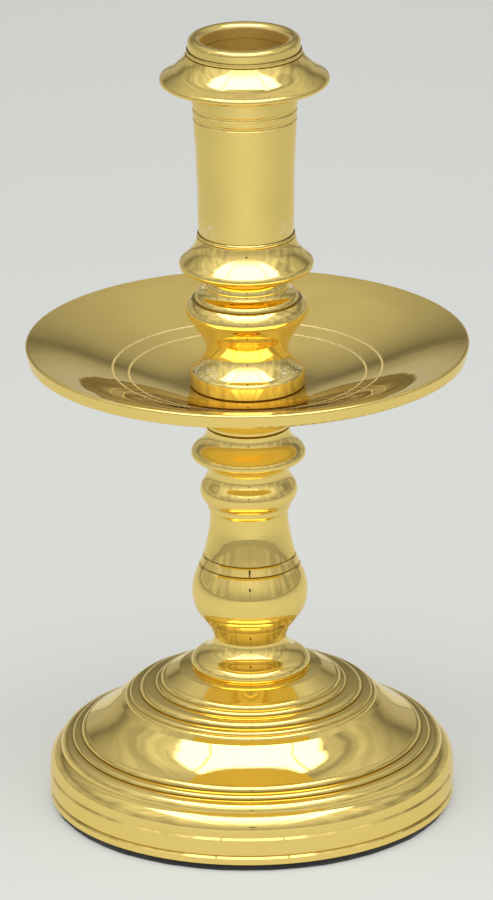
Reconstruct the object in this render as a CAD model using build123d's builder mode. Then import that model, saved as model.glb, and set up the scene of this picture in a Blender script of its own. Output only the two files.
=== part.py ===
from build123d import *
import os
from math import dist, sqrt

# A turned brass candlestick with a drip pan half way up. One threaded rod clamps base, stem, pan and
# candle socket together. Lengths are in millimetres, +Z is up, and the origin is on the floor, on the axis.

os.makedirs("parts", exist_ok=True)

# Fits and edges
rod_clearance = 0.3  # radial room round the rod in the pieces that it only passes through
spigot_clearance = 0.1  # radial room round a locating spigot
spigot_gap = 0.3  # room beyond the end of a spigot, so that the faces beside it clamp
thread_clearance = 0.06  # radial room in the socket's thread, which is drawn plain
edge_round = 0.35  # rounding of a turned edge

# Felt pad
felt_inset = 0.7  # how far the felt stays inside the base's edge
felt_thickness = 2.0

# Base
base_radius = 54.1
base_height = 35.7
base_rim_width = 5.0
base_deck_thickness = 6.2
base_seat_radius = 19.0
base_lower_band_height = 2.3
base_upper_band_height = 4.7
base_band_edge = 0.55  # height of the chamfer between the upper band and the torus
base_line_depth = 0.4
base_line_half_width = 0.55

# Stem
stem_foot_radius = 15.85
stem_foot_height = 8.6
stem_waist_radius = 9.7
stem_cone_radius = 11.3
stem_cone_height = 3.9
stem_vase_radius = 15.4
stem_vase_height = 31.7
stem_fillet_radius = 11.15
stem_fillet_height = 2.4
stem_bead_radius = 12.9
stem_bead_height = 11.4
stem_collar_radius = 15.2
stem_collar_height = 9.7
stem_ring_radius = 11.35
stem_ring_height = 1.6
stem_drum_radius = 10.4
stem_drum_flare = 1.1  # height over which the drum spreads to the ring
stem_drum_height = 7.3
stem_base_spigot_radius = 8.0
stem_base_spigot_length = 2.0
stem_pan_spigot_radius = 6.5
stem_line_depth = 0.4
stem_line_half_width = 0.35

# Drip pan
pan_radius = 58.5
pan_depth = 11.7  # from the hub's seat up to the rim's top
pan_hub_radius = 15.6
pan_hub_thickness = 3.0
pan_wall = 3.1
pan_rim_height = 3.8
pan_rim_taper = 0.5  # how much the rim draws in towards its lower edge
pan_rim_round = 0.6
pan_line_depth = 0.15
pan_line_half_width = 0.15

# Washer under the socket
pan_washer_radius = 14.6
pan_washer_bore_radius = 6.0
pan_washer_thickness = 0.3

# Candle socket
socket_foot_radius = 15.2
socket_foot_wall_height = 3.3
socket_waist_radius = 10.8
socket_waist_height = 6.3
socket_knop_radius = 16.15
socket_knop_height = 13.75
socket_ledge_height = 3.2
socket_neck_radius = 9.6
socket_neck_height = 5.35
socket_collar_radius = 17.7
socket_collar_height = 8.9
socket_bead_radius = 12.75
socket_bead_height = 1.0
socket_column_radius = 13.8
socket_column_height = 36.9
socket_flange_radius = 22.25
socket_flange_height = 12.1
socket_fillet_radius = 15.1
socket_fillet_height = 1.1
socket_lip_radius = 14.75
socket_lip_height = 3.2
socket_lip_round = 1.3
socket_groove_depth = 0.25
socket_groove_half_width = 0.62
candle_bore_radius = 11.2
candle_bore_depth = 30.0
candle_mouth_radius = 11.5
candle_mouth_depth = 4.2

# Tie rod, washer and nut
rod_radius = 3.0
rod_chamfer = 0.6
rod_grip = 12.0  # length of rod inside the socket's foot
rod_tail = 2.5  # length of rod below the nut
thread_run_out = 2.0  # tapped hole beyond the end of the rod
base_washer_radius = 9.0
base_washer_thickness = 1.6
nut_across_flats = 10.0
nut_height = 5.0

# How far an arc stands out from its chord, as a share of the chord
quarter_rise_share = 0.207
ring_rise_share = 0.2
torus_rise_share = 0.19
slope_crown_share = 0.0074
slope_hollow_share = 0.0273
cone_hollow_share = 0.04
fillet_rise_share = 0.12
foot_edge_rise_share = 0.1
ledge_hollow_share = 0.12
flange_hollow_share = 0.08

# Outlines as pairs of shares of a stage's radius and height
base_lower_ring_shares = [
    (0.943, 0.377),
    (0.908, 0.444),
    (0.885, 0.447),
    (0.870, 0.479),
    (0.841, 0.482),
    (0.817, 0.524),
]
base_upper_ring_shares = [
    (0.621, 0.756),
    (0.605, 0.783),
    (0.600, 0.784),
    (0.585, 0.808),
    (0.549, 0.811),
    (0.524, 0.853),
    (0.473, 0.857),
    (0.452, 0.889),
    (0.445, 0.891),
    (0.420, 0.930),
]
base_slope_top_shares = (0.645, 0.732)
base_slope_turn_shares = (0.696, 0.660)
base_torus_start_share = 0.9935
base_seat_edge_share = 0.989
base_cavity_shoulder_share = 0.28
base_cavity_top_share = 0.4
stem_foot_shares = [
    (0.965, 0.0),
    (1.0, 0.18),
    (0.965, 0.31),
    (0.890, 0.41),
    (0.785, 0.50),
    (0.693, 0.63),
    (0.635, 0.80),
]
stem_vase_shares = [
    (0.745, 0.0),
    (0.835, 0.055),
    (0.925, 0.120),
    (0.985, 0.205),
    (1.0, 0.280),
    (0.962, 0.405),
    (0.868, 0.520),
    (0.797, 0.610),
    (0.738, 0.725),
    (0.694, 0.840),
    (0.672, 1.0),
]
stem_vase_line_shares = [(0.857, 0.530), (0.799, 0.609)]
stem_bead_shares = [
    (0.885, 0.0),
    (0.955, 0.115),
    (1.0, 0.300),
    (0.965, 0.460),
    (0.885, 0.605),
    (0.845, 0.780),
    (0.875, 0.895),
    (0.940, 1.0),
]
stem_collar_shares = [
    (0.955, 0.115),
    (1.0, 0.255),
    (0.975, 0.360),
    (0.905, 0.475),
    (0.812, 0.595),
    (0.748, 0.750),
    (0.728, 1.0),
]
stem_ring_shares = [(0.943, 0.05), (1.0, 0.5), (1.0, 0.92), (0.985, 1.0)]
pan_engraved_shares = [(0.608, 0.397), (0.535, 0.278)]
pan_dish_shares = [(0.892, 0.880), (0.790, 0.718), (0.701, 0.560), *pan_engraved_shares, (0.410, 0.098)]
socket_dome_shares = [
    (0.971, 0.108),
    (0.945, 0.149),
    (0.911, 0.210),
    (0.884, 0.271),
    (0.836, 0.400),
    (0.789, 0.533),
    (0.750, 0.675),
    (0.724, 0.825),
]
socket_knop_shares = [
    (0.706, 0.175),
    (0.774, 0.327),
    (0.839, 0.436),
    (0.907, 0.553),
    (0.969, 0.662),
    (0.991, 0.720),
    (1.0, 0.782),
    (0.994, 0.837),
    (0.970, 0.908),
    (0.929, 0.971),
    (0.903, 1.0),
]
socket_ledge_shares = [(0.848, 0.015), (0.848, 0.140), (0.842, 0.240), (0.830, 0.350), (0.807, 0.470)]
socket_neck_shares = [
    (1.161, 0.084),
    (1.177, 0.133),
    (1.169, 0.243),
    (1.154, 0.336),
    (1.133, 0.424),
    (1.104, 0.507),
    (1.063, 0.574),
    (1.0, 0.626),
]
socket_collar_shares = [
    (0.955, 0.0),
    (1.0, 0.163),
    (0.980, 0.258),
    (0.934, 0.335),
    (0.886, 0.427),
    (0.842, 0.519),
    (0.805, 0.607),
    (0.775, 0.697),
    (0.755, 0.804),
    (0.743, 0.888),
    (0.734, 0.978),
]
socket_column_shares = [
    (0.905, 0.0),
    (0.921, 0.160),
    (0.928, 0.400),
    (0.955, 0.620),
    (0.985, 0.830),
    (1.0, 1.0),
]
socket_column_groove_shares = [(0.989, 0.863), (0.995, 0.933)]
socket_flange_root_share = 0.165
socket_flange_shares = [
    (0.950, 0.335),
    (1.0, 0.417),
    (0.991, 0.463),
    (0.960, 0.504),
    (0.895, 0.575),
    (0.835, 0.660),
    (0.787, 0.752),
    (0.744, 0.836),
    (0.705, 0.945),
    (0.692, 0.992),
]

# Levels up the axis
base_seat = felt_thickness + base_height
stem_waist = base_seat + stem_foot_height
stem_vase_bottom = stem_waist + stem_cone_height
stem_vase_top = stem_vase_bottom + stem_vase_height
stem_fillet_top = stem_vase_top + stem_fillet_height
stem_bead_top = stem_fillet_top + stem_bead_height
stem_collar_top = stem_bead_top + stem_collar_height
stem_ring_top = stem_collar_top + stem_ring_height
stem_top = stem_ring_top + stem_drum_height
pan_seat = stem_top + pan_hub_thickness
pan_top = pan_seat + pan_depth
socket_seat = pan_seat + pan_washer_thickness
socket_foot_top = socket_seat + socket_foot_wall_height
socket_waist = socket_foot_top + socket_waist_height
socket_knop_top = socket_waist + socket_knop_height
socket_neck_bottom = socket_knop_top + socket_ledge_height
socket_neck_top = socket_neck_bottom + socket_neck_height
socket_collar_top = socket_neck_top + socket_collar_height
socket_column_bottom = socket_collar_top + socket_bead_height
socket_column_top = socket_column_bottom + socket_column_height
socket_flange_top = socket_column_top + socket_flange_height
socket_lip_bottom = socket_flange_top + socket_fillet_height
socket_top = socket_lip_bottom + socket_lip_height
deck_underside = base_seat - base_deck_thickness
nut_top = deck_underside - base_washer_thickness
nut_bottom = nut_top - nut_height
rod_bottom = nut_bottom - rod_tail
rod_top = socket_seat + rod_grip
rod_hole_radius = rod_radius + rod_clearance


def stage(radius, bottom, height, shares):
    """Outline points of one turned stage."""
    return [(radius * across, bottom + height * up) for across, up in shares]


def bead(start, end, rise_share):
    """An arc, drawn upwards, that stands out from its chord. A negative share hollows it."""
    return SagittaArc(start, end, -rise_share * dist(start, end))


def rings(points):
    """Beads that climb a slope, with a flat from the end of each to the start of the next."""
    for low, high in zip(points[::2], points[1::2]):
        bead(low, high, ring_rise_share)
    for low, high in zip(points[1::2], points[2::2]):
        Line(low, high)


def incise(radius, level, depth, half_width):
    """Section of a V line cut into a wall at this radius, open past the surface."""
    Polygon(
        (radius - depth, level),
        (radius + depth, level - 2 * half_width),
        (radius + depth, level + 2 * half_width),
        align=None,
    )


def hollow(radius, level, depth, half_width):
    """Start, bottom and end of a round groove cut into a wall at this radius, open past the surface."""
    reach = sqrt(2 * (half_width**2 - depth**2))
    return (radius + depth, level - reach), (radius - depth, level), (radius + depth, level + reach)


def engrave(radius, level, depth, half_width):
    """Section of a V line cut down into a floor at this level, open past the surface."""
    Polygon(
        (radius, level - depth),
        (radius + 2 * half_width, level + depth),
        (radius - 2 * half_width, level + depth),
        align=None,
    )


# Felt pad, glued under the base
with BuildPart() as felt_pad:
    with BuildSketch():
        Circle(base_radius - felt_inset)
    extrude(amount=felt_thickness)
felt_pad.part.label = "felt_pad"
export_step(felt_pad.part, "parts/felt_pad.step")


# Base, a turned shell that is open underneath, with a recess for the stem's spigot
base_bottom = felt_thickness
base_line_level = base_bottom + base_lower_band_height
base_band_top = base_line_level + base_upper_band_height
rim_edge_bottom = (base_radius - edge_round, base_bottom)
rim_edge_top = (base_radius, base_bottom + edge_round)
torus_start = (base_radius * base_torus_start_share, base_band_top + base_band_edge)
lower_rings = stage(base_radius, base_bottom, base_height, base_lower_ring_shares)
upper_rings = stage(base_radius, base_bottom, base_height, base_upper_ring_shares)
slope_bottom = lower_rings[-1]
slope_top = stage(base_radius, base_bottom, base_height, [base_slope_top_shares])[0]
slope_turn = tuple(
    low + (high - low) * share
    for low, high, share in zip(slope_bottom, slope_top, base_slope_turn_shares)
)
seat_edge = (base_seat_radius, base_bottom + base_height * base_seat_edge_share)
cavity_radius = base_radius - base_rim_width
cavity_shoulder = base_bottom + base_height * base_cavity_shoulder_share
cavity_top_radius = base_radius * base_cavity_top_share
recess_radius = stem_base_spigot_radius + spigot_clearance
recess_floor = base_seat - stem_base_spigot_length - spigot_gap

with BuildPart() as base:
    with BuildSketch(Plane.XZ):
        with BuildLine():
            Polyline(
                (rod_hole_radius, deck_underside),
                (cavity_top_radius, deck_underside),
                (cavity_radius, cavity_shoulder),
                (cavity_radius, base_bottom),
                rim_edge_bottom,
            )
            bead(rim_edge_bottom, rim_edge_top, quarter_rise_share)
            Polyline(
                rim_edge_top,
                (base_radius, base_band_top),
                torus_start,
            )
            bead(torus_start, lower_rings[0], torus_rise_share)
            rings(lower_rings)
            bead(slope_bottom, slope_turn, -slope_hollow_share)
            bead(slope_turn, slope_top, slope_crown_share)
            Line(slope_top, upper_rings[0])
            rings(upper_rings)
            Polyline(
                upper_rings[-1],
                seat_edge,
                (stem_foot_radius, base_seat),
                (recess_radius, base_seat),
                (recess_radius, recess_floor),
                (rod_hole_radius, recess_floor),
                (rod_hole_radius, deck_underside),
            )
        make_face()
    revolve(axis=Axis.Z)
    with BuildSketch(Plane.XZ):
        incise(base_radius, base_line_level, base_line_depth, base_line_half_width)
    revolve(axis=Axis.Z, mode=Mode.SUBTRACT)
base.part.label = "base"
export_step(base.part, "parts/base.step")


# Stem, turned in one piece, bored for the rod, with a spigot at each end
stem_foot = stage(stem_foot_radius, base_seat, stem_foot_height, stem_foot_shares)
stem_foot.append((stem_waist_radius, stem_waist))
stem_cone_top = (stem_cone_radius, stem_vase_bottom)
stem_vase = stage(stem_vase_radius, stem_vase_bottom, stem_vase_height, stem_vase_shares)
stem_lines = stage(stem_vase_radius, stem_vase_bottom, stem_vase_height, stem_vase_line_shares)
stem_fillet_end = (stem_fillet_radius, stem_fillet_top)
stem_bead = stage(stem_bead_radius, stem_fillet_top, stem_bead_height, stem_bead_shares)
stem_collar = stage(stem_collar_radius, stem_bead_top, stem_collar_height, stem_collar_shares)
stem_ring = stage(stem_ring_radius, stem_collar_top, stem_ring_height, stem_ring_shares)
stem_bottom = base_seat - stem_base_spigot_length
stem_spigot_top = pan_seat - spigot_gap

with BuildPart() as stem:
    with BuildSketch(Plane.XZ):
        with BuildLine():
            Polyline(
                (rod_hole_radius, stem_bottom),
                (stem_base_spigot_radius, stem_bottom),
                (stem_base_spigot_radius, base_seat),
                stem_foot[0],
            )
            Spline(stem_foot)
            bead(stem_foot[-1], stem_cone_top, -cone_hollow_share)
            Line(stem_cone_top, stem_vase[0])
            Spline(stem_vase)
            bead(stem_vase[-1], stem_fillet_end, fillet_rise_share)
            Line(stem_fillet_end, stem_bead[0])
            Spline(stem_bead)
            Line(stem_bead[-1], stem_collar[0])
            Spline(stem_collar)
            Polyline(
                stem_collar[-1],
                *stem_ring,
                (stem_drum_radius, stem_ring_top + stem_drum_flare),
                (stem_drum_radius, stem_top),
                (stem_pan_spigot_radius, stem_top),
                (stem_pan_spigot_radius, stem_spigot_top),
                (rod_hole_radius, stem_spigot_top),
                (rod_hole_radius, stem_bottom),
            )
        make_face()
    revolve(axis=Axis.Z)
    with BuildSketch(Plane.XZ):
        for across, level in stem_lines:
            incise(across, level, stem_line_depth, stem_line_half_width)
    revolve(axis=Axis.Z, mode=Mode.SUBTRACT)
stem.part.label = "stem"
export_step(stem.part, "parts/stem.step")


# Drip pan, a shallow dish that sits on the stem's shoulder, round its upper spigot
pan_bore_radius = stem_pan_spigot_radius + spigot_clearance
rim_bottom = pan_top - pan_rim_height
rim_low_radius = pan_radius - pan_rim_taper
dish_edge = (pan_radius - pan_rim_round, pan_top)
dish_points = stage(pan_radius, pan_seat, pan_depth, pan_dish_shares)
dish_rings = stage(pan_radius, pan_seat, pan_depth, pan_engraved_shares)
dish = [dish_edge, *dish_points, (pan_hub_radius, pan_seat)]
underside = [(pan_hub_radius, stem_top)]
underside += [(across, level - pan_wall) for across, level in reversed(dish_points)]
underside.append((rim_low_radius - pan_rim_round, rim_bottom))

with BuildPart() as drip_pan:
    with BuildSketch(Plane.XZ):
        with BuildLine():
            Line((pan_bore_radius, stem_top), underside[0])
            Spline(underside)
            bead(underside[-1], (rim_low_radius, rim_bottom + pan_rim_round), quarter_rise_share)
            Line((rim_low_radius, rim_bottom + pan_rim_round), (pan_radius, pan_top - pan_rim_round))
            bead((pan_radius, pan_top - pan_rim_round), dish_edge, quarter_rise_share)
            Spline(dish)
            Polyline(dish[-1], (pan_bore_radius, pan_seat), (pan_bore_radius, stem_top))
        make_face()
    revolve(axis=Axis.Z)
    with BuildSketch(Plane.XZ):
        for across, level in dish_rings:
            engrave(across, level, pan_line_depth, pan_line_half_width)
    revolve(axis=Axis.Z, mode=Mode.SUBTRACT)
drip_pan.part.label = "drip_pan"
export_step(drip_pan.part, "parts/drip_pan.step")


# Thin washer between the dish and the socket's foot
with BuildPart() as pan_washer:
    with BuildSketch(Plane.XY.offset(pan_seat)):
        Circle(pan_washer_radius)
        Circle(pan_washer_bore_radius, mode=Mode.SUBTRACT)
    extrude(amount=pan_washer_thickness)
pan_washer.part.label = "pan_washer"
export_step(pan_washer.part, "parts/pan_washer.step")


# Candle socket, turned in one piece, tapped from below for the rod and bored from above for the candle
thread_radius = rod_radius + thread_clearance
thread_end = rod_top + thread_run_out
foot_edge = (socket_foot_radius, socket_foot_top - edge_round)
socket_body = stage(socket_foot_radius, socket_foot_top, socket_waist_height, socket_dome_shares)
socket_body.append((socket_waist_radius, socket_waist))
socket_body += stage(socket_knop_radius, socket_waist, socket_knop_height, socket_knop_shares)
socket_ledge = stage(socket_knop_radius, socket_knop_top, socket_ledge_height, socket_ledge_shares)
socket_neck = stage(socket_neck_radius, socket_neck_bottom, socket_neck_height, socket_neck_shares)
socket_collar = stage(socket_collar_radius, socket_neck_top, socket_collar_height, socket_collar_shares)
socket_bead_start = (socket_bead_radius, socket_collar_top)
socket_bead_end = (socket_bead_radius, socket_column_bottom)
column_stage = (socket_column_radius, socket_column_bottom, socket_column_height)
socket_column = stage(*column_stage, socket_column_shares)
socket_grooves = stage(*column_stage, socket_column_groove_shares)
flange_root = (socket_column_radius, socket_column_top + socket_flange_height * socket_flange_root_share)
socket_flange = stage(socket_flange_radius, socket_column_top, socket_flange_height, socket_flange_shares)
socket_fillet_start = (socket_fillet_radius, socket_flange_top)
socket_fillet_end = (socket_fillet_radius, socket_lip_bottom)
lip_shoulder = (socket_lip_radius, socket_top - socket_lip_round)
lip_crest = (socket_lip_radius - socket_lip_round, socket_top)
mouth_crest = (candle_mouth_radius + socket_lip_round, socket_top)
mouth_edge = (candle_mouth_radius, socket_top - socket_lip_round)
mouth_floor = socket_top - candle_mouth_depth
bore_floor = socket_top - candle_bore_depth

with BuildPart() as candle_socket:
    with BuildSketch(Plane.XZ):
        with BuildLine():
            Polyline(
                (0, thread_end),
                (thread_radius, thread_end),
                (thread_radius, socket_seat),
                (socket_foot_radius, socket_seat),
                foot_edge,
            )
            bead(foot_edge, socket_body[0], foot_edge_rise_share)
            Spline(socket_body)
            Line(socket_body[-1], socket_ledge[0])
            Spline(socket_ledge)
            bead(socket_ledge[-1], socket_neck[0], -ledge_hollow_share)
            Spline(socket_neck)
            Polyline(socket_neck[-1], (socket_neck_radius, socket_neck_top), socket_collar[0])
            Spline(socket_collar)
            Polyline(socket_collar[-1], (socket_collar[-1][0], socket_collar_top), socket_bead_start)
            bead(socket_bead_start, socket_bead_end, ring_rise_share)
            Line(socket_bead_end, socket_column[0])
            Spline(socket_column)
            Line(socket_column[-1], flange_root)
            bead(flange_root, socket_flange[0], -flange_hollow_share)
            Spline(socket_flange)
            Line(socket_flange[-1], socket_fillet_start)
            bead(socket_fillet_start, socket_fillet_end, fillet_rise_share)
            Polyline(socket_fillet_end, (socket_lip_radius, socket_lip_bottom), lip_shoulder)
            bead(lip_shoulder, lip_crest, quarter_rise_share)
            Line(lip_crest, mouth_crest)
            bead(mouth_crest, mouth_edge, quarter_rise_share)
            Polyline(
                mouth_edge,
                (candle_mouth_radius, mouth_floor),
                (candle_bore_radius, mouth_floor),
                (candle_bore_radius, bore_floor),
                (0, bore_floor),
                (0, thread_end),
            )
        make_face()
    revolve(axis=Axis.Z)
    for across, level in socket_grooves:
        with BuildSketch(Plane.XZ):
            with BuildLine():
                groove = hollow(across, level, socket_groove_depth, socket_groove_half_width)
                ThreePointArc(*groove)
                Line(groove[2], groove[0])
            make_face()
        revolve(axis=Axis.Z, mode=Mode.SUBTRACT)
candle_socket.part.label = "candle_socket"
export_step(candle_socket.part, "parts/candle_socket.step")


# Tie rod
with BuildPart() as tie_rod:
    with BuildSketch(Plane.XY.offset(rod_bottom)):
        Circle(rod_radius)
    extrude(amount=rod_top - rod_bottom)
    chamfer(tie_rod.edges().filter_by(GeomType.CIRCLE), rod_chamfer)
tie_rod.part.label = "tie_rod"
export_step(tie_rod.part, "parts/tie_rod.step")


# Washer under the base's deck
with BuildPart() as base_washer:
    with BuildSketch(Plane.XY.offset(nut_top)):
        Circle(base_washer_radius)
        Circle(rod_hole_radius, mode=Mode.SUBTRACT)
    extrude(amount=base_washer_thickness)
base_washer.part.label = "base_washer"
export_step(base_washer.part, "parts/base_washer.step")


# Hexagon nut on the lower end of the rod
with BuildPart() as base_nut:
    with BuildSketch(Plane.XY.offset(nut_bottom)):
        RegularPolygon(nut_across_flats / 2, side_count=6, major_radius=False)
        Circle(rod_radius, mode=Mode.SUBTRACT)
    extrude(amount=nut_height)
base_nut.part.label = "base_nut"
export_step(base_nut.part, "parts/base_nut.step")
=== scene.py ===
import math
import random
from collections import namedtuple

import bmesh
import bpy
from mathutils import Matrix, Vector


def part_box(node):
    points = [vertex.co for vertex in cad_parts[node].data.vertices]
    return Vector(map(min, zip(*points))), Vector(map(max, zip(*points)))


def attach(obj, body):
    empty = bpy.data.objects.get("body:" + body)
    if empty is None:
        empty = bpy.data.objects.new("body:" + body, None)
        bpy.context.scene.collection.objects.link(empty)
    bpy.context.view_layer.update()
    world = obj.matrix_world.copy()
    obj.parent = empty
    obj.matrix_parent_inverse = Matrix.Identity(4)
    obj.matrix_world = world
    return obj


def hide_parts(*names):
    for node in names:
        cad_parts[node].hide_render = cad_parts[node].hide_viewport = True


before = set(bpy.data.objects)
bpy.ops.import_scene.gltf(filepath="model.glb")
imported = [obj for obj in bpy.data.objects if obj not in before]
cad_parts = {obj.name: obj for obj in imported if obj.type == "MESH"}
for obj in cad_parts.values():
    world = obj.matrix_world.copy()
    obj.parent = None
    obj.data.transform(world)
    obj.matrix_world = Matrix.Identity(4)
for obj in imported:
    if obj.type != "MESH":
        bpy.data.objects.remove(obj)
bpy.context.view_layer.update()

# A polished brass candlestick in a light tent. Lengths are in metres, +Z is up and the camera stands on -Y.

MM = 0.001
QUARTER_TURN = 90.0
HALF_TURN = 180.0
FULL_CIRCLE = 2 * math.pi
HORIZONTAL = (1.0, 1.0, 0.0)

# Lengths that differ by less than this are taken as equal
SAME_PLACE = 1e-7

# Range that holds most levels of a noise. Each noise below is a scale, a detail and a roughness
MOST_NOISE = (0.3, 0.7)

# Places of the sockets of a Mix node for colours: factor, first and second colour, and the result
MIX_INPUTS = (0, 6, 7)
MIX_RESULT = 2

# Camera
IMAGE_HEIGHT_PIXELS = 900
FOCAL_PIXELS = 8046.9
SENSOR_MM = 36.0
CAMERA_SIDE = -0.0005
CAMERA_DISTANCE = 2.0
CAMERA_HEIGHT = 0.8275
CAMERA_PITCH_DEGREES = 20.03
CAMERA_ROLL_DEGREES = -0.61

# Floor: a round table top with painted light, palest in front of the object, and a painted glow that lifts
# its shadows
FLOOR_RADIUS = 1.5
FLOOR_SEGMENTS = 256
FLOOR_CENTRE = (0.0, 0.5, 0.0)
FLOOR_COLOUR = (0.372, 0.378, 0.363, 1.0)
FLOOR_GLOW = 0.75
FLOOR_ROUGHNESS = 0.9
FLOOR_SHINE = 0.2
FLOOR_PALEST = (0.0, -0.5, 0.0)
FLOOR_STRETCH = (2.5, 1.0, 0.0)
FLOOR_SHADES = [(0.0, 1.10), (0.4, 1.05), (0.85, 0.95), (1.3, 0.84), (2.2, 0.74), (3.0, 0.70)]
FLOOR_BRIGHTEST = 1.10
FLOOR_REACH = 3.0

# Light tent: brightness of its walls by elevation in degrees, at the front and at the back
FRONT_WALL = [(0, 0.47), (6, 0.50), (12, 0.60), (19, 0.72), (27, 0.82), (40, 0.95), (54, 1.1), (70, 0.8),
              (90, 0.65)]
BACK_WALL = [(0, 0.50), (9, 0.46), (14, 0.36), (17, 0.24), (19, 0.18), (22, 0.26), (28, 0.38), (45, 0.54),
             (90, 0.66)]
BRIGHTEST_WALL = 2.0
BELOW_FRONT = 0.42
BELOW_BACK = 0.31

# How much of the front wall's brightness a wall has, by azimuth from the front in degrees
FRONT_SHARE = [(0, 1.0), (35, 0.97), (60, 0.80), (90, 0.46), (115, 0.24), (140, 0.05), (180, 0.0)]

# A darker patch high on the right wall, between two azimuths in degrees
DARK_SIDE = (84, 112)
DARK_SIDE_EDGE = 8
DARK_SIDE_BOTTOM = (36, 46)
DARK_SIDE_LEVEL = 0.68

# Folds in the tent's cloth, faint in front and deep at the sides
FOLDS_PER_UNIT = 5.0
FOLD_HEIGHT_DEGREES = 40.0
FOLD_DEPTHS = [(0, 0.03), (25, 0.06), (70, 0.30), (125, 0.30), (150, 0.08), (180, 0.05)]
FOLD_NOISE = (1.0, 2.5, 0.55)
FOLD_CONTRAST = (0.25, 0.75)

# Lit ceiling of the tent, as slopes across and ahead, with a hole at the zenith and two seams
CEILING_LEVELS = [(0.0, 3.7), (0.45, 3.8), (0.58, 3.3), (0.73, 2.7), (0.95, 2.2), (1.2, 1.7), (1.5, 1.25),
                  (1.9, 1.0), (2.3, 0.84)]
CEILING_BRIGHTEST = 3.8
CEILING_REACH = 2.5
CEILING_SIDES = (-0.70, 0.65)
CEILING_EDGE = 0.06
CEILING_START = (-0.07, -0.01)
CEILING_END = (2.3, 1.9)
CEILING_HOLE = (0.30, 0.20)
CEILING_HOLE_EDGE = 0.12
LOWEST_RISE = 0.05
SEAM_PLACE = 0.38
SEAM_HALF_WIDTH = 0.025
SEAM_LEVEL = 0.3

# Opening of the tent, where the camera stands, and the camera's stand below it: sizes in degrees, and
# the width of their soft edges as a share of those
OPENING_ELEVATION = 20.2
OPENING_HALF_SIZES = (2.6, 2.6)
OPENING_EDGE = 0.25
OPENING_LEVEL = 0.12
STAND_HALF_WIDTH = 0.9
STAND_EDGE = 0.4
STAND_LEVEL = 0.78

# Brass, with its polish, the fine lines of turning and the waves of buffing
BRASS_COLOUR = (0.95, 0.72, 0.225, 1.0)
BRASS_EDGE_COLOUR = (1.0, 0.95, 0.80, 1.0)
POLISH_NOISE = (60.0, 3.0, 0.5)
POLISH_ROUGHNESS = (0.02, 0.045)
TURNING_NOISE = (1400.0, 3.0, 0.6)
TURNING_HEIGHT = 0.002 * MM
BUFFING_NOISE = (110.0, 2.0, 0.5)
BUFFING_HEIGHT = 0.03 * MM

# Brown stain and painted shade in creases, by how open a place is: one in the open and zero in a deep crease
CREVICE_REACH = 1.6 * MM
CREVICE_SAMPLES = 8
CREASE_OPENNESS = (0.91, 0.62)
DEEP_OPENNESS = (0.2, 0.5)
DEEP_STAIN_AND_SHADE = 0.35
STAIN_AND_SHADE_COLOUR = (0.44, 0.29, 0.065, 1.0)

# Bore of the socket
BORE_RADIUS = 11.6 * MM
BORE_EDGE = 0.2 * MM
BORE_BOTTOM = 170.0 * MM
BORE_BOTTOM_EDGE = 1.0 * MM
BORE_COLOUR = (0.95, 0.79, 0.36, 1.0)
BORE_DULLNESS = 0.4

# Engraved rings of the pan
PAN_LEVELS = (117.0 * MM, 124.0 * MM)
PAN_LEVEL_EDGE = 0.2 * MM
PAN_GROOVES = (31.30 * MM, 35.57 * MM)
GROOVE_HALF_WIDTH = 0.28 * MM
GROOVE_EDGE = 0.05 * MM
GROOVE_COLOUR = (0.97, 0.82, 0.42, 1.0)
GROOVE_DULLNESS = 0.6

# Underside of the pan, where the surface faces down
UNDERSIDE_LEVELS = (113.0 * MM, 126.5 * MM)
UNDERSIDE_FACING = (-0.3, -0.6)
UNDERSIDE_DULLNESS = 0.32

# Pale polish residue at the sides of the column's foot and of the socket's foot
RESIDUE_LEVELS = [(160.4 * MM, 164.4 * MM), (121.6 * MM, 124.2 * MM)]
RESIDUE_LEVEL_EDGE = 0.8 * MM
RESIDUE_ASIDE = (7.5 * MM, 9.5 * MM)
RESIDUE_REACH = (17.0 * MM, 16.0 * MM)
RESIDUE_NOISE = (1500.0, 1.0, 0.5)
RESIDUE_GRAINS = (0.52, 0.62)
RESIDUE_COLOUR = (0.97, 0.86, 0.56, 1.0)
RESIDUE_DULLNESS = 0.5

# Base, turned again from its CAD outline
BASE_COLUMNS = 480

# Felt, its cut edge and the loose fibres on it
FELT_NOISE = (2500.0, 4.0, 0.7)
FELT_NAP_STRENGTH = 0.6
FELT_NAP_HEIGHT = 0.2 * MM
FELT_SHADES = [(0.3, (0.004, 0.004, 0.005, 1.0)), (0.75, (0.03, 0.03, 0.033, 1.0))]
FELT_ROUGHNESS = 0.95
FELT_SHEEN = 0.25
FELT_SHEEN_ROUGHNESS = 0.6
FELT_COLUMNS = 480
FELT_EDGE_ROUND = 0.5 * MM
FELT_EDGE_STEPS = 8
FELT_EDGE_WANDER = 0.3 * MM
FELT_EDGE_FADE = 8
FELT_EDGE_WAVES = [(5, 0.3, 0.4), (11, 0.25, 2.1), (23, 0.2, 4.0), (47, 0.15, 1.3), (91, 0.1, 5.2)]
FIBRE_SEED = 7
FIBRE_COUNT = 1100
FIBRE_SIDES = 3
FIBRE_RINGS = 3
FIBRE_ROOT = 0.15 * MM
FIBRE_LEVELS = (0.15, 0.9)
FIBRE_LEAN = (-1.2, 1.2)
FIBRE_RISE = (-0.5, 0.4)
FIBRE_BEND = (-0.4, 0.4)
FIBRE_DROOP = (-0.5, 0.2)
FIBRE_LENGTHS_MM = (0.35, 1.0)
FIBRE_WIDTHS_MM = (0.02, 0.035)
FIBRE_TAPER = 0.5
FIBRE_CLEARANCE = 0.03 * MM
FIBRE_TIP_CLEARANCE = 0.05 * MM

# Washer of pressed fibre
WASHER_NOISE = (1200.0, 5.0, 0.7)
WASHER_SHADES = [(0.3, (0.14, 0.09, 0.045, 1.0)), (0.7, (0.26, 0.17, 0.08, 1.0))]
WASHER_ROUGHNESS = 0.85

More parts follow.
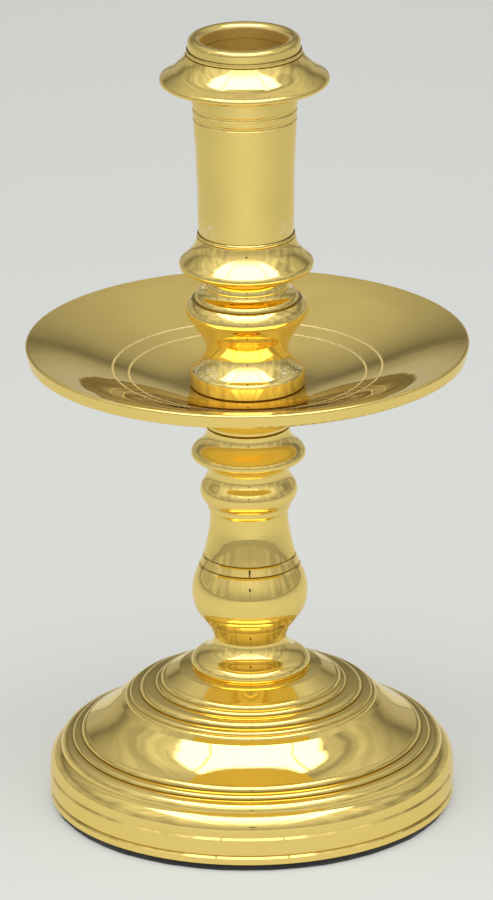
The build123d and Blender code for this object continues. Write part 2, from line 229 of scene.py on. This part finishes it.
# Steel, and the thread on the tie rod, whose profile is in shares of its pitch and of its depth
STEEL_NOISE = (400.0, 3.0, 0.5)
STEEL_SHADES = [(0.3, (0.42, 0.42, 0.41, 1.0)), (0.7, (0.58, 0.58, 0.57, 1.0))]
STEEL_ROUGHNESS = (0.25, 0.45)
THREAD_PITCH = 1.0 * MM
THREAD_DEPTH = 0.55 * MM
THREAD_PROFILE = [(0.0, 0.0), (0.125, 0.0), (0.4375, 1.0), (0.6875, 1.0)]
THREAD_COLUMNS = 36
THREAD_SPARE_TURNS = 3
THREAD_CHAMFER = 0.6 * MM


# Node helpers

def connect(tree, socket, value):
    """Gives an input socket a value, or another node's output."""
    if isinstance(value, bpy.types.NodeSocket):
        tree.links.new(value, socket)
    else:
        socket.default_value = value


def add(tree, kind, inputs=None, **settings):
    """A new node with its settings, and with inputs that are values or other nodes' outputs."""
    node = tree.nodes.new(kind)
    for name, value in settings.items():
        setattr(node, name, value)
    for socket, value in (inputs or {}).items():
        connect(tree, node.inputs[socket], value)
    return node


def calculate(tree, operation, *values):
    """The result of one Math node."""
    return add(tree, "ShaderNodeMath", dict(enumerate(values)), operation=operation).outputs[0]


def multiply(tree, first, *others):
    """The product of several values."""
    result = first
    for other in others:
        result = calculate(tree, "MULTIPLY", result, other)
    return result


def greatest(tree, first, *others):
    """The greatest of several values."""
    result = first
    for other in others:
        result = calculate(tree, "MAXIMUM", result, other)
    return result


def ease(tree, value, low, high, bottom=0.0, top=1.0):
    """Goes smoothly from bottom, where value is low, to top, where it is high."""
    inputs = {"Value": value, "From Min": low, "From Max": high, "To Min": bottom, "To Max": top}
    return add(tree, "ShaderNodeMapRange", inputs, interpolation_type="SMOOTHSTEP").outputs["Result"]


def between(tree, value, limits, edge):
    """One between two limits and zero outside them, with soft edges."""
    low, high = limits
    above_low = ease(tree, value, low - edge, low + edge)
    below_high = ease(tree, value, high + edge, high - edge)
    return multiply(tree, above_low, below_high)


def oval(tree, across, ahead, half_sizes):
    """How far out a place lies, where one is the edge of an oval about the middle."""
    wide = calculate(tree, "DIVIDE", across, half_sizes[0])
    deep = calculate(tree, "DIVIDE", ahead, half_sizes[1])
    return calculate(tree, "SQRT", calculate(tree, "MULTIPLY_ADD", deep, deep, multiply(tree, wide, wide)))


def vector_math(tree, operation, *vectors):
    """The vector that one Vector Math node gives."""
    return add(tree, "ShaderNodeVectorMath", dict(enumerate(vectors)), operation=operation).outputs["Vector"]


def length_of(tree, vector):
    """The length of a vector."""
    return add(tree, "ShaderNodeVectorMath", {0: vector}, operation="LENGTH").outputs["Value"]


def separate(tree, vector):
    """The X, Y and Z of a vector."""
    return add(tree, "ShaderNodeSeparateXYZ", {"Vector": vector}).outputs


def ramp(tree, value, stops):
    """A straight colour ramp over 0 to 1. A stop is a place and a colour."""
    node = add(tree, "ShaderNodeValToRGB", {"Fac": value})
    node.color_ramp.interpolation = "LINEAR"
    elements = node.color_ramp.elements
    while len(elements) < len(stops):
        elements.new(0.5)
    for element, (place, colour) in zip(elements, stops):
        element.position = place
        element.color = colour
    return node.outputs["Color"]


def graph(tree, value, stops, reach, brightest=1.0):
    """The level that stops give over a value from zero to reach. No stop is above brightest."""
    greys = []
    for place, level in stops:
        grey = level / brightest
        greys.append((place / reach, (grey, grey, grey, 1.0)))
    return multiply(tree, ramp(tree, calculate(tree, "DIVIDE", value, reach), greys), brightest)


def mix_colours(tree, factor, first, second, blend="MIX"):
    """The Color result of a Mix node."""
    node = add(tree, "ShaderNodeMix", data_type="RGBA", blend_type=blend)
    for socket, value in zip(MIX_INPUTS, (factor, first, second)):
        connect(tree, node.inputs[socket], value)
    return node.outputs[MIX_RESULT]


def noise(tree, vector, settings):
    """The level of a Noise texture, about 0.5 in the middle."""
    scale, detail, roughness = settings
    inputs = {"Vector": vector, "Scale": scale, "Detail": detail, "Roughness": roughness}
    return add(tree, "ShaderNodeTexNoise", inputs).outputs["Fac"]


def new_material(name):
    """A material with a Principled shader. Returns the material, its tree and the shader."""
    material = bpy.data.materials.new(name)
    material.use_nodes = True
    tree = material.node_tree
    return material, tree, tree.nodes["Principled BSDF"]


# Surroundings

def wall_light(tree, direction, elevation, azimuth, front_share):
    """Brightness of the tent's walls, with the folds of the cloth and the darker patch on the right."""
    front = graph(tree, elevation, FRONT_WALL, QUARTER_TURN, BRIGHTEST_WALL)
    back = graph(tree, elevation, BACK_WALL, QUARTER_TURN, BRIGHTEST_WALL)
    wall = mix_colours(tree, front_share, back, front)

    level_direction = vector_math(tree, "MULTIPLY", direction, HORIZONTAL)
    heading = separate(tree, vector_math(tree, "NORMALIZE", level_direction))
    cloth = add(tree, "ShaderNodeCombineXYZ", {
        "X": multiply(tree, heading["X"], FOLDS_PER_UNIT),
        "Y": multiply(tree, heading["Y"], FOLDS_PER_UNIT),
        "Z": calculate(tree, "DIVIDE", elevation, FOLD_HEIGHT_DEGREES)}).outputs["Vector"]
    fold = ease(tree, noise(tree, cloth, FOLD_NOISE), *FOLD_CONTRAST, -1.0, 1.0)
    depth = graph(tree, calculate(tree, "ABSOLUTE", azimuth), FOLD_DEPTHS, HALF_TURN)
    folds = calculate(tree, "MULTIPLY_ADD", fold, depth, 1.0)

    on_dark_side = between(tree, azimuth, DARK_SIDE, DARK_SIDE_EDGE)
    dark_side = multiply(tree, on_dark_side, ease(tree, elevation, *DARK_SIDE_BOTTOM))
    return multiply(tree, wall, folds, ease(tree, dark_side, 0.0, 1.0, 1.0, DARK_SIDE_LEVEL))


def opening_light(tree, elevation, azimuth):
    """How much light is left where the tent is open for the camera, and on the camera's stand."""
    height = calculate(tree, "SUBTRACT", elevation, OPENING_ELEVATION)
    out = oval(tree, azimuth, height, OPENING_HALF_SIZES)
    opening = ease(tree, out, 1.0 - OPENING_EDGE, 1.0 + OPENING_EDGE, OPENING_LEVEL, 1.0)
    aside = calculate(tree, "ABSOLUTE", azimuth)
    edges = [(1.0 - STAND_EDGE) * STAND_HALF_WIDTH, (1.0 + STAND_EDGE) * STAND_HALF_WIDTH]
    beside_stand = ease(tree, aside, *edges, STAND_LEVEL, 1.0)
    over_stand = calculate(tree, "GREATER_THAN", elevation, OPENING_ELEVATION)
    return multiply(tree, opening, greatest(tree, beside_stand, over_stand))


def ceiling_light(tree, across_slope, ahead_slope):
    """Brightness of the lit ceiling, and a mask that is one where the ceiling is."""
    levels = graph(tree, ahead_slope, CEILING_LEVELS, CEILING_REACH, CEILING_BRIGHTEST)
    from_middle = calculate(tree, "ABSOLUTE", across_slope)
    off_seam = calculate(tree, "ABSOLUTE", calculate(tree, "SUBTRACT", from_middle, SEAM_PLACE))
    seam = ease(tree, off_seam, 0.0, SEAM_HALF_WIDTH, SEAM_LEVEL, 1.0)
    hole = oval(tree, across_slope, ahead_slope, CEILING_HOLE)
    mask = multiply(tree,
                    between(tree, across_slope, CEILING_SIDES, CEILING_EDGE),
                    ease(tree, hole, 1.0 - CEILING_HOLE_EDGE, 1.0 + CEILING_HOLE_EDGE),
                    ease(tree, ahead_slope, *CEILING_START),
                    ease(tree, ahead_slope, *CEILING_END))
    return multiply(tree, levels, seam), mask


def make_world():
    """The light tent: folded pale walls, darker at the back, under a lit ceiling with two seams."""
    world = bpy.data.worlds.new("light_tent")
    world.use_nodes = True
    tree = world.node_tree
    direction = add(tree, "ShaderNodeTexCoord").outputs["Generated"]
    parts = separate(tree, direction)
    ahead = multiply(tree, parts["Y"], -1.0)
    elevation = calculate(tree, "DEGREES", calculate(tree, "ARCSINE", parts["Z"]))
    azimuth = calculate(tree, "DEGREES", calculate(tree, "ARCTAN2", parts["X"], ahead))
    front_share = graph(tree, calculate(tree, "ABSOLUTE", azimuth), FRONT_SHARE, HALF_TURN)

    wall = wall_light(tree, direction, elevation, azimuth, front_share)
    wall = multiply(tree, wall, opening_light(tree, elevation, azimuth))
    rise = greatest(tree, parts["Z"], LOWEST_RISE)
    across_slope = calculate(tree, "DIVIDE", parts["X"], rise)
    ahead_slope = calculate(tree, "DIVIDE", ahead, rise)
    ceiling, on_ceiling = ceiling_light(tree, across_slope, ahead_slope)
    above = mix_colours(tree, on_ceiling, wall, ceiling)
    below = calculate(tree, "MULTIPLY_ADD", front_share, BELOW_FRONT - BELOW_BACK, BELOW_BACK)
    is_below = calculate(tree, "LESS_THAN", elevation, 0.0)
    background = tree.nodes["Background"]
    tree.links.new(mix_colours(tree, is_below, above, below), background.inputs["Color"])
    background.inputs["Strength"].default_value = 1.0
    bpy.context.scene.world = world


def make_floor():
    """A plain pale table top with painted light that darkens a little towards the back and the sides, and a
    painted glow.
    """
    mesh = bpy.data.meshes.new("floor")
    maker = bmesh.new()
    bmesh.ops.create_circle(maker, cap_ends=True, segments=FLOOR_SEGMENTS, radius=FLOOR_RADIUS)
    maker.to_mesh(mesh)
    maker.free()
    mesh.transform(Matrix.Translation(FLOOR_CENTRE))
    material, tree, shader = new_material("pale_floor")
    place = add(tree, "ShaderNodeTexCoord").outputs["Object"]
    offset = vector_math(tree, "SUBTRACT", place, FLOOR_PALEST)
    distance = length_of(tree, vector_math(tree, "MULTIPLY", offset, FLOOR_STRETCH))
    # Painted light: palest in front of the object, darker towards the back and the sides
    shade = graph(tree, distance, FLOOR_SHADES, FLOOR_REACH, FLOOR_BRIGHTEST)
    colour = mix_colours(tree, 1.0, shade, FLOOR_COLOUR, "MULTIPLY")
    tree.links.new(colour, shader.inputs["Base Color"])
    # Painted glow, so that the floor lights itself and its shadows stay faint
    tree.links.new(colour, shader.inputs["Emission Color"])
    shader.inputs["Emission Strength"].default_value = FLOOR_GLOW
    shader.inputs["Roughness"].default_value = FLOOR_ROUGHNESS
    shader.inputs["Specular IOR Level"].default_value = FLOOR_SHINE
    floor = place_mesh("floor", mesh, material)


def make_camera():
    """The camera at the photograph's viewing angle."""
    data = bpy.data.cameras.new("camera")
    data.sensor_width = SENSOR_MM
    data.lens = FOCAL_PIXELS * SENSOR_MM / IMAGE_HEIGHT_PIXELS
    camera = bpy.data.objects.new("camera", data)
    bpy.context.scene.collection.objects.link(camera)
    pitch = Matrix.Rotation(math.radians(QUARTER_TURN - CAMERA_PITCH_DEGREES), 4, "X")
    roll = Matrix.Rotation(math.radians(CAMERA_ROLL_DEGREES), 4, "Z")
    place = Matrix.Translation((CAMERA_SIDE, -CAMERA_DISTANCE, CAMERA_HEIGHT))
    camera.matrix_world = place @ pitch @ roll
    bpy.context.scene.camera = camera


# Materials

def bore_mask(tree, radius, level):
    """One inside the socket's bore."""
    in_reach = ease(tree, radius, BORE_RADIUS + BORE_EDGE, BORE_RADIUS)
    high_up = ease(tree, level, BORE_BOTTOM - BORE_BOTTOM_EDGE, BORE_BOTTOM)
    return multiply(tree, in_reach, high_up)


def groove_mask(tree, radius, level):
    """One in the engraved rings of the pan."""
    rings = []
    for groove in PAN_GROOVES:
        limits = (groove - GROOVE_HALF_WIDTH, groove + GROOVE_HALF_WIDTH)
        rings.append(between(tree, radius, limits, GROOVE_EDGE))
    return multiply(tree, greatest(tree, *rings), between(tree, level, PAN_LEVELS, PAN_LEVEL_EDGE))


def stain_and_shade_mask(tree):
    """One in creases, for a brown stain where polishing doesn't reach and for painted shade, and less in the
    deepest of them.
    """
    occlusion = add(tree, "ShaderNodeAmbientOcclusion", {"Distance": CREVICE_REACH},
                    samples=CREVICE_SAMPLES, only_local=True)
    openness = occlusion.outputs["AO"]
    in_crease = ease(tree, openness, *CREASE_OPENNESS)
    return multiply(tree, in_crease, ease(tree, openness, *DEEP_OPENNESS, DEEP_STAIN_AND_SHADE, 1.0))


def residue_mask(tree, place, parts, radius):
    """One on the grains of polish residue."""
    bands = [between(tree, parts["Z"], levels, RESIDUE_LEVEL_EDGE) for levels in RESIDUE_LEVELS]
    aside = ease(tree, calculate(tree, "ABSOLUTE", parts["X"]), *RESIDUE_ASIDE)
    near = ease(tree, radius, *RESIDUE_REACH)
    grains = ease(tree, noise(tree, place, RESIDUE_NOISE), *RESIDUE_GRAINS)
    return multiply(tree, greatest(tree, *bands), aside, near, grains)


def make_brass():
    """Polished yellow brass: fine turning lines, brown creases with painted shade, polish residue and some
    duller places.
    """
    material, tree, shader = new_material("polished_brass")
    shader.inputs["Metallic"].default_value = 1.0
    shader.inputs["Specular Tint"].default_value = BRASS_EDGE_COLOUR
    coordinates = add(tree, "ShaderNodeTexCoord").outputs
    place = coordinates["Object"]
    parts = separate(tree, place)
    level = parts["Z"]
    radius = length_of(tree, vector_math(tree, "MULTIPLY", place, HORIZONTAL))
    in_bore = bore_mask(tree, radius, level)
    in_groove = groove_mask(tree, radius, level)
    residue = residue_mask(tree, place, parts, radius)

    colour = mix_colours(tree, in_bore, BRASS_COLOUR, BORE_COLOUR)
    # Creases get a brown stain and painted shade
    colour = mix_colours(tree, stain_and_shade_mask(tree), colour, STAIN_AND_SHADE_COLOUR)
    colour = mix_colours(tree, residue, colour, RESIDUE_COLOUR)
    colour = mix_colours(tree, in_groove, colour, GROOVE_COLOUR)
    tree.links.new(colour, shader.inputs["Base Color"])

    facing_down = ease(tree, separate(tree, coordinates["Normal"])["Z"], *UNDERSIDE_FACING)
    under_pan = multiply(tree, facing_down, between(tree, level, UNDERSIDE_LEVELS, PAN_LEVEL_EDGE))
    roughness = greatest(tree,
                         ease(tree, noise(tree, place, POLISH_NOISE), *MOST_NOISE, *POLISH_ROUGHNESS),
                         multiply(tree, in_bore, BORE_DULLNESS),
                         multiply(tree, in_groove, GROOVE_DULLNESS),
                         multiply(tree, under_pan, UNDERSIDE_DULLNESS),
                         multiply(tree, residue, RESIDUE_DULLNESS))
    tree.links.new(roughness, shader.inputs["Roughness"])

    turned = add(tree, "ShaderNodeCombineXYZ", {"X": radius, "Z": level}).outputs["Vector"]
    rings = noise(tree, turned, TURNING_NOISE)
    lines = add(tree, "ShaderNodeBump", {"Height": rings, "Strength": 1.0, "Distance": TURNING_HEIGHT})
    waves = add(tree, "ShaderNodeBump", {
        "Height": noise(tree, place, BUFFING_NOISE), "Strength": 1.0,
        "Distance": BUFFING_HEIGHT, "Normal": lines.outputs["Normal"]})
    tree.links.new(waves.outputs["Normal"], shader.inputs["Normal"])
    return material


def grainy_material(name, settings, shades):
    """A material coloured by a fine noise. Returns the material, its tree, the shader and the noise."""
    material, tree, shader = new_material(name)
    grain = noise(tree, add(tree, "ShaderNodeTexCoord").outputs["Object"], settings)
    tree.links.new(ramp(tree, grain, shades), shader.inputs["Base Color"])
    return material, tree, shader, grain


def make_felt():
    """Black felt with a little lint."""
    material, tree, shader, nap = grainy_material("black_felt", FELT_NOISE, FELT_SHADES)
    shader.inputs["Roughness"].default_value = FELT_ROUGHNESS
    shader.inputs["Sheen Weight"].default_value = FELT_SHEEN
    shader.inputs["Sheen Roughness"].default_value = FELT_SHEEN_ROUGHNESS
    bump = add(tree, "ShaderNodeBump", {
        "Height": nap, "Strength": FELT_NAP_STRENGTH, "Distance": FELT_NAP_HEIGHT})
    tree.links.new(bump.outputs["Normal"], shader.inputs["Normal"])
    return material


def make_fibre():
    """Brown matt pressed fibre."""
    material, _, shader, _ = grainy_material("pressed_fibre", WASHER_NOISE, WASHER_SHADES)
    shader.inputs["Roughness"].default_value = WASHER_ROUGHNESS
    return material


def make_steel():
    """Plain zinc-plated steel."""
    material, tree, shader, spots = grainy_material("plated_steel", STEEL_NOISE, STEEL_SHADES)
    shader.inputs["Metallic"].default_value = 1.0
    tree.links.new(ease(tree, spots, *MOST_NOISE, *STEEL_ROUGHNESS), shader.inputs["Roughness"])
    return material


# Pieces made here

def place_mesh(name, mesh, material):
    """A new object in the shared frame, from a mesh and its material."""
    mesh.materials.append(material)
    piece = bpy.data.objects.new(name, mesh)
    bpy.context.scene.collection.objects.link(piece)
    return piece


def new_piece(name, points, faces, material, smooth=True):
    """A closed mesh object from points and faces, with doubled points joined and its normals outwards."""
    mesh = bpy.data.meshes.new(name)
    mesh.from_pydata([tuple(point) for point in points], [], faces)
    maker = bmesh.new()
    maker.from_mesh(mesh)
    bmesh.ops.remove_doubles(maker, verts=maker.verts, dist=SAME_PLACE)
    bmesh.ops.dissolve_degenerate(maker, edges=maker.edges, dist=SAME_PLACE)
    bmesh.ops.recalc_face_normals(maker, faces=maker.faces)
    maker.to_mesh(mesh)
    maker.free()
    mesh.polygons.foreach_set("use_smooth", [smooth] * len(mesh.polygons))
    return place_mesh(name, mesh, material)


def around(radius, angle, level):
    """A point at a radius and an angle about the axis, at a level."""
    return radius * math.cos(angle), radius * math.sin(angle), level


def ring_faces(rings, columns):
    """Quads between rings of points that follow each other, each ring closed round the axis."""
    faces = []
    for ring in range(rings - 1):
        low, high = ring * columns, (ring + 1) * columns
        for column in range(columns):
            following = (column + 1) % columns
            faces.append((low + column, low + following, high + following, high + column))
    return faces


# One end of a strip of an outline, with the parts of the surface's normal there
StripEnd = namedtuple("StripEnd", "radius level outwards upwards")


def is_flat(corners):
    """Whether a face lies level."""
    levels = [corner.z for corner in corners]
    return max(levels) - min(levels) < SAME_PLACE


def on_outline(point):
    """Whether a point lies on the half plane of +X, where the outline of a turned CAD mesh runs."""
    return abs(point.y) < SAME_PLACE and point.x > 0


def outline_strips(mesh):
    """The strips between two ends that make up the outline of a turned CAD mesh of triangles."""
    strips, flats = [], {}
    for face in mesh.polygons:
        corners = [mesh.vertices[index].co for index in face.vertices]
        normals = [mesh.corner_normals[index].vector for index in face.loop_indices]
        if is_flat(corners):
            reaches = [corner.xy.length for corner in corners]
            key = (round(corners[0].z / SAME_PLACE), normals[0].z > 0)
            reaches += flats.get(key, [])
            flats[key] = [min(reaches), max(reaches)]
            continue
        # The ends follow the corners of the face, so that the turned strip faces the same way
        for first, second, third in ((0, 1, 2), (1, 2, 0), (2, 0, 1)):
            along = on_outline(corners[first]) and on_outline(corners[second])
            if along and corners[third].y > 0:
                strips.append([StripEnd(corners[end].x, corners[end].z, normals[end].x, normals[end].z)
                               for end in (first, second)])
    for (step, faces_up), (inner, outer) in flats.items():
        reaches = (inner, outer) if faces_up else (outer, inner)
        upwards = 1.0 if faces_up else -1.0
        strips.append([StripEnd(reach, step * SAME_PLACE, 0.0, upwards) for reach in reaches])
    return strips


def make_turned_base(material):
    """The base turned in finer steps from the outline of its CAD mesh, so that highlights run evenly."""
    turns = [FULL_CIRCLE * column / BASE_COLUMNS for column in range(BASE_COLUMNS)]
    rings, points, faces, normals = {}, [], [], []
    for strip in outline_strips(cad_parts["base"].data):
        starts = []
        for end in strip:
            key = (round(end.radius / SAME_PLACE), round(end.level / SAME_PLACE))
            if key not in rings:
                rings[key] = len(points)
                points += [around(end.radius, turn, end.level) for turn in turns]
            starts.append(rings[key])
        for column in range(BASE_COLUMNS):
            following = (column + 1) % BASE_COLUMNS
            corners = [(0, column), (1, column), (1, following), (0, following)]
            faces.append([starts[end] + place for end, place in corners])
            normals += [around(strip[end].outwards, turns[place], strip[end].upwards)
                        for end, place in corners]
    mesh = bpy.data.meshes.new("turned_base")
    mesh.from_pydata(points, [], faces)
    mesh.polygons.foreach_set("use_smooth", [True] * len(mesh.polygons))
    mesh.normals_split_custom_set(normals)
    base = place_mesh("turned_base", mesh, material)
    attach(base, "stand")
    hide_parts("base")


def felt_edge(angle):
    """How far the cut edge of the felt wanders outwards at an angle, as a share of its most."""
    return sum(share * math.sin(count * angle + start) for count, share, start in FELT_EDGE_WAVES)


def make_felt_pad(material):
    """The felt disc with a soft, unevenly cut edge, in the place of its CAD solid."""
    low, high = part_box("felt_pad")
    radius, thickness = high.x - FELT_EDGE_WANDER, high.z - low.z
    bend = FELT_EDGE_ROUND
    outline = [(0.0, 0.0), (radius / 2, 0.0), (radius - 2 * bend, 0.0)]
    for step in range(FELT_EDGE_STEPS + 1):
        turn = math.pi * step / FELT_EDGE_STEPS - math.pi / 2
        level = bend + bend * math.sin(turn)
        if turn > 0:
            level += thickness - 2 * bend
        outline.append((radius - bend + bend * math.cos(turn), level))
    outline += [(radius - 2 * bend, thickness), (radius / 2, thickness), (0.0, thickness)]
    points = []
    for across, level in outline:
        for column in range(FELT_COLUMNS):
            angle = FULL_CIRCLE * column / FELT_COLUMNS
            wander = FELT_EDGE_WANDER * felt_edge(angle) * (across / radius) ** FELT_EDGE_FADE
            points.append(around(across + wander, angle, low.z + level))
    felt = new_piece("felt_disc", points, ring_faces(len(outline), FELT_COLUMNS), material)
    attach(felt, "stand")
    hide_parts("felt_pad")
    return felt


def fibre_faces(start):
    """Faces of one fibre whose points begin at start: its root, its sides and its tip."""
    faces = [(start, start + 2, start + 1)]
    for ring in range(FIBRE_RINGS - 1):
        for side in range(FIBRE_SIDES):
            here = start + FIBRE_SIDES * ring + side
            beside = start + FIBRE_SIDES * ring + (side + 1) % FIBRE_SIDES
            faces.append((here, beside, beside + FIBRE_SIDES, here + FIBRE_SIDES))
    last = start + FIBRE_SIDES * (FIBRE_RINGS - 1)
    for side in range(FIBRE_SIDES):
        faces.append((last + side, last + (side + 1) % FIBRE_SIDES, last + FIBRE_SIDES))
    return faces


def make_felt_fibres(material):
    """Short loose fibres that stand out of the felt's cut edge."""
    draw = random.Random(FIBRE_SEED)
    low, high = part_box("felt_pad")
    radius, thickness = high.x - FELT_EDGE_WANDER, high.z - low.z
    up = Vector((0, 0, 1))
    points, faces = [], []
    for _ in range(FIBRE_COUNT):
        angle = draw.uniform(0, FULL_CIRCLE)
        outwards = Vector((math.cos(angle), math.sin(angle), 0))
        sideways = Vector((-math.sin(angle), math.cos(angle), 0))
        level = low.z + draw.uniform(*FIBRE_LEVELS) * thickness
        root = outwards * (radius + FELT_EDGE_WANDER * felt_edge(angle) - FIBRE_ROOT)
        root.z = level
        heading = outwards + sideways * draw.uniform(*FIBRE_LEAN) + up * draw.uniform(*FIBRE_RISE)
        heading.normalize()
        bend = sideways * draw.uniform(*FIBRE_BEND) + up * draw.uniform(*FIBRE_DROOP)
        length = draw.uniform(*FIBRE_LENGTHS_MM) * MM
        width = draw.uniform(*FIBRE_WIDTHS_MM) * MM
        faces += fibre_faces(len(points))
        for ring in range(FIBRE_RINGS):
            share = ring / FIBRE_RINGS
            middle = root + heading * length * share + bend * length * share * share
            for side in range(FIBRE_SIDES):
                turn = FULL_CIRCLE * side / FIBRE_SIDES
                offset = sideways * math.cos(turn) + up * math.sin(turn)
                point = middle + offset * width * (1 - FIBRE_TAPER * share)
                point.z = max(point.z, low.z + FIBRE_CLEARANCE)
                points.append(point)
        tip = root + heading * length + bend * length
        tip.z = max(tip.z, low.z + FIBRE_TIP_CLEARANCE)
        points.append(tip)
    fibres = new_piece("felt_fibres", points, faces, material)
    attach(fibres, "stand")
    return fibres


def make_threaded_rod(material):
    """The tie rod with its screw thread, in the place of the plain CAD rod."""
    low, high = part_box("tie_rod")
    crest = high.x
    turns = int((high.z - low.z) / THREAD_PITCH) + THREAD_SPARE_TURNS
    count = turns * len(THREAD_PROFILE)
    points = []
    for column in range(THREAD_COLUMNS):
        angle = FULL_CIRCLE * column / THREAD_COLUMNS
        for turn in range(turns):
            for share, depth in THREAD_PROFILE:
                level = low.z + (turn - 1 + share + column / THREAD_COLUMNS) * THREAD_PITCH
                level = min(max(level, low.z), high.z)
                near_end = min(level - low.z, high.z - level)
                reach = min(crest - depth * THREAD_DEPTH, crest - THREAD_CHAMFER + near_end)
                points.append(around(reach, angle, level))
    faces = []
    for column in range(THREAD_COLUMNS):
        following = (column + 1) % THREAD_COLUMNS
        lift = len(THREAD_PROFILE) if following == 0 else 0
        for step in range(count - 1 - lift):
            here = column * count + step
            beside = following * count + step + lift
            faces.append((here, beside, beside + 1, here + 1))
    faces.append([column * count for column in range(THREAD_COLUMNS)])
    faces.append([(column + 1) * count - 1 for column in range(THREAD_COLUMNS)])
    rod = new_piece("threaded_rod", points, faces, material, smooth=False)
    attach(rod, "stand")
    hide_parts("tie_rod")


def dress(material, *names):
    """Gives CAD nodes their finished material."""
    for name in names:
        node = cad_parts[name]
        node.data.materials.clear()
        node.data.materials.append(material)


make_camera()
make_world()
make_floor()
brass = make_brass()
felt = make_felt()
fibre = make_fibre()
steel = make_steel()
dress(brass, "stem", "drip_pan", "candle_socket")
make_turned_base(brass)
dress(fibre, "pan_washer")
dress(steel, "base_washer", "base_nut")
pad = make_felt_pad(felt)
fringe = make_felt_fibres(felt)
make_threaded_rod(steel)
bpy.context.scene.view_settings.view_transform = "Standard"
